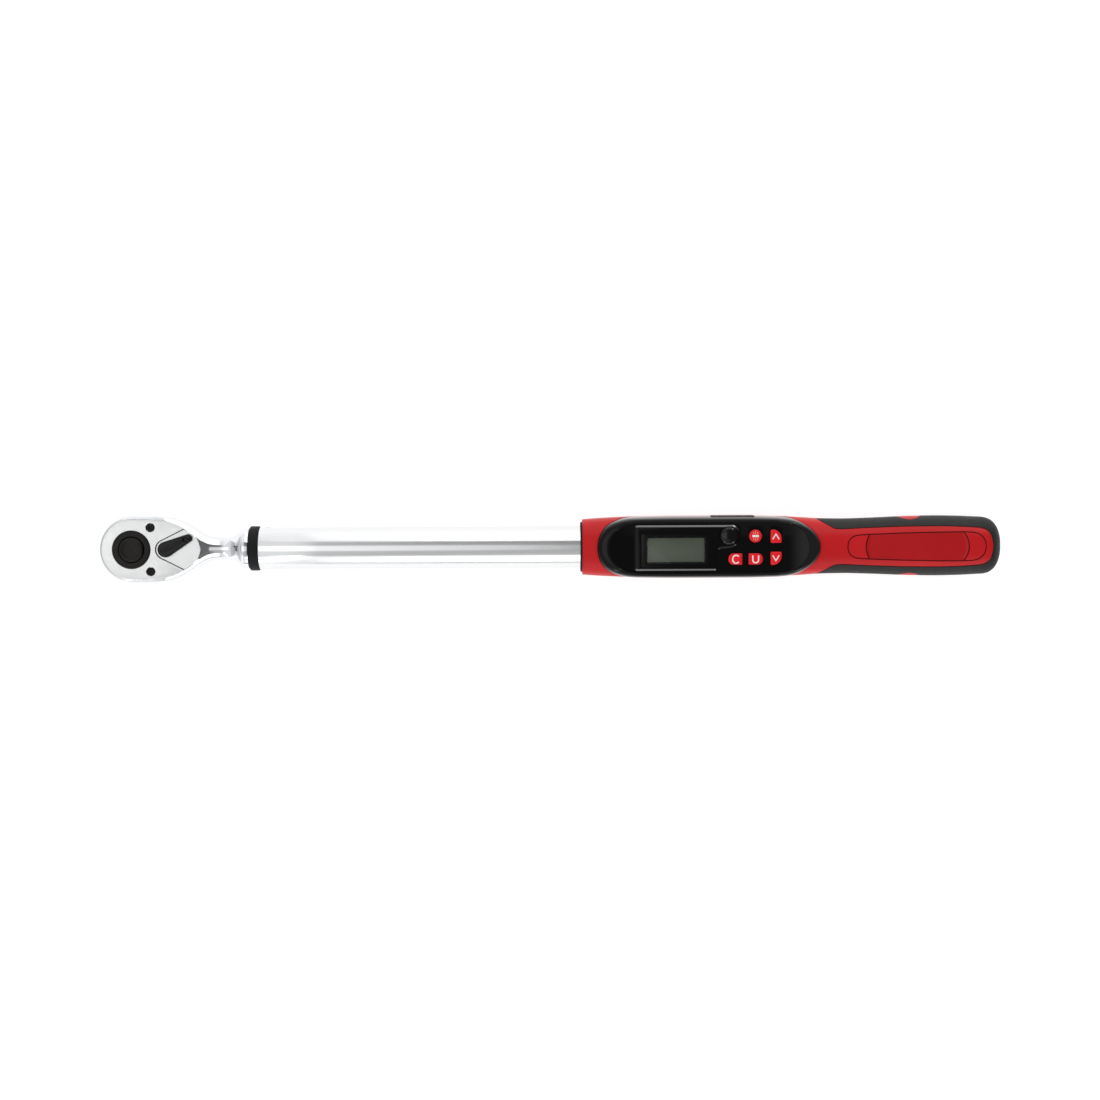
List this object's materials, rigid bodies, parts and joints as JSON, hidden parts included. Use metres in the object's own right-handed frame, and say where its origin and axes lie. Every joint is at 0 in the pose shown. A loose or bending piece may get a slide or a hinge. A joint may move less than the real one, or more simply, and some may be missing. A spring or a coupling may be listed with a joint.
{
  "type": "digital torque wrench",
  "caption": "Half-inch square-drive ratcheting torque wrench with a reversing lever, tubular steel shaft, strain-gauge sensor, digital display, keys and a soft grip.",
  "frame": {"origin": "centre of the drive square's end face", "axes": "+X along the tube from the drive towards the grip, +Y towards the data port's side, +Z from the drive square up to the display face"},
  "size_m": [0.5392, 0.041, 0.0512],
  "materials": {
    "polished_chrome": "polished",
    "satin_chrome": "satin",
    "black_steel": "black oxide, satin",
    "spring_steel": "bright",
    "red_plastic": "semi-gloss",
    "key_red": "semi-gloss",
    "black_bezel": "gloss",
    "black_plastic": "matte",
    "black_rubber": "matte",
    "clear_window": "gloss",
    "lcd_glass": "gloss",
    "smoked_lens": "gloss",
    "circuit_board": "matte",
    "white_plastic": "matte",
    "grey_silicone": "matte",
    "nickel_plate": "bright",
    "cell_sleeve": "gloss",
    "gauge_foil": "foil",
    "lead_sleeve": "matte",
    "red_lead_sleeve": "matte"
  },
  "bodies": {
    "wrench": {"ratchet_head": "polished_chrome", "head_cover_plate": "satin_chrome", "cover_screw_1": "black_steel", "cover_screw_2": "black_steel", "head_retaining_pin": "spring_steel", "tube_collar_ring": "black_rubber", "tube": "polished_chrome", "sensor_bush": "white_plastic", "strain_gauge_left": "gauge_foil", "strain_gauge_right": "gauge_foil", "sensor_cable": "lead_sleeve", "front_seal": "black_rubber", "upper_shell": "red_plastic", "lower_shell": "red_plastic", "tube_screw_1": "black_steel", "tube_screw_2": "black_steel", "end_screw_1": "black_steel", "end_screw_2": "black_steel", "upper_grip_rubber": "black_rubber", "lower_grip_rubber": "black_rubber", "display_bezel": "black_bezel", "display_window": "clear_window", "lcd_panel": "lcd_glass", "backlight_panel": "white_plastic", "lcd_connector_strip": "grey_silicone", "led_lens": "smoked_lens", "indicator_led": "white_plastic", "main_board": "circuit_board", "controller_chip": "black_bezel", "buzzer": "black_bezel", "keypad_mat": "grey_silicone", "data_port": "nickel_plate", "battery_tray": "black_plastic", "battery_1": "cell_sleeve", "battery_2": "cell_sleeve", "battery_spring_1": "nickel_plate", "battery_spring_2": "nickel_plate", "bridge_contact": "nickel_plate", "positive_contact": "nickel_plate", "battery_lead_red": "red_lead_sleeve", "battery_lead_black": "lead_sleeve"},
    "drive": {"drive_gear": "black_steel", "release_spring": "spring_steel"},
    "quick_release": {"release_button": "black_steel"},
    "ball": {"detent_ball": "spring_steel"},
    "lever": {"reverse_lever": "black_steel", "pawl_plunger": "spring_steel", "plunger_spring": "spring_steel"},
    "pawl": {"pawl": "black_steel"},
    "power_key": {"key_power": "key_red"},
    "up_key": {"key_up": "key_red"},
    "down_key": {"key_down": "key_red"},
    "clear_key": {"key_clear": "key_red"},
    "unit_key": {"key_unit": "key_red"},
    "port_flap": {"port_cover": "black_rubber"},
    "door": {"battery_door": "red_plastic"}
  },
  "joints": [
    {"name": "drive_spin", "type": "hinge", "parent": "wrench", "child": "drive", "pos_m": [0, 0, 0], "axis": [0, 0, 1], "continuous": true},
    {"name": "release_press", "type": "slide", "parent": "drive", "child": "quick_release", "axis": [0, 0, -1], "range_m": [0, 0.0025], "stiffness_N_per_m": 1500, "springref_m": -0.001, "deforming": ["release_spring"]},
    {"name": "ball_retract", "type": "slide", "parent": "drive", "child": "ball", "axis": [-1, 0, 0], "range_m": [0, 0.0011]},
    {"name": "lever_turn", "type": "hinge", "parent": "wrench", "child": "lever", "pos_m": [0.0203, 0, 0.0285], "axis": [0, 0, 1], "range_deg": [-52.4, 0]},
    {"name": "pawl_rock", "type": "hinge", "parent": "wrench", "child": "pawl", "pos_m": [0.0203, 0, 0.0285], "axis": [0, 0, 1], "range_deg": [0, 9.4]},
    {"name": "power_press", "type": "slide", "parent": "wrench", "child": "power_key", "axis": [0, 0, -1], "range_m": [0, 0.0006], "stiffness_N_per_m": 1200, "springref_m": -0.0005},
    {"name": "up_press", "type": "slide", "parent": "wrench", "child": "up_key", "axis": [0, 0, -1], "range_m": [0, 0.0006], "stiffness_N_per_m": 1200, "springref_m": -0.0005},
    {"name": "down_press", "type": "slide", "parent": "wrench", "child": "down_key", "axis": [0, 0, -1], "range_m": [0, 0.0006], "stiffness_N_per_m": 1200, "springref_m": -0.0005},
    {"name": "clear_press", "type": "slide", "parent": "wrench", "child": "clear_key", "axis": [0, 0, -1], "range_m": [0, 0.0006], "stiffness_N_per_m": 1200, "springref_m": -0.0005},
    {"name": "unit_press", "type": "slide", "parent": "wrench", "child": "unit_key", "axis": [0, 0, -1], "range_m": [0, 0.0006], "stiffness_N_per_m": 1200, "springref_m": -0.0005},
    {"name": "port_flap_hinge", "type": "hinge", "parent": "wrench", "child": "port_flap", "pos_m": [0.3575, 0.0182, 0.043], "axis": [1, 0, 0], "range_deg": [0, 100]},
    {"name": "battery_door_hinge", "type": "hinge", "parent": "wrench", "child": "door", "pos_m": [0.4476, 0, 0.0113], "axis": [0, 1, 0], "range_deg": [0, 70]}
  ],
  "couplings": [
    {"joint": "ball_retract", "follows": "release_press", "ratio": 0.44},
    {"joint": "pawl_rock", "follows": "lever_turn", "ratio": -0.179}
  ]
}
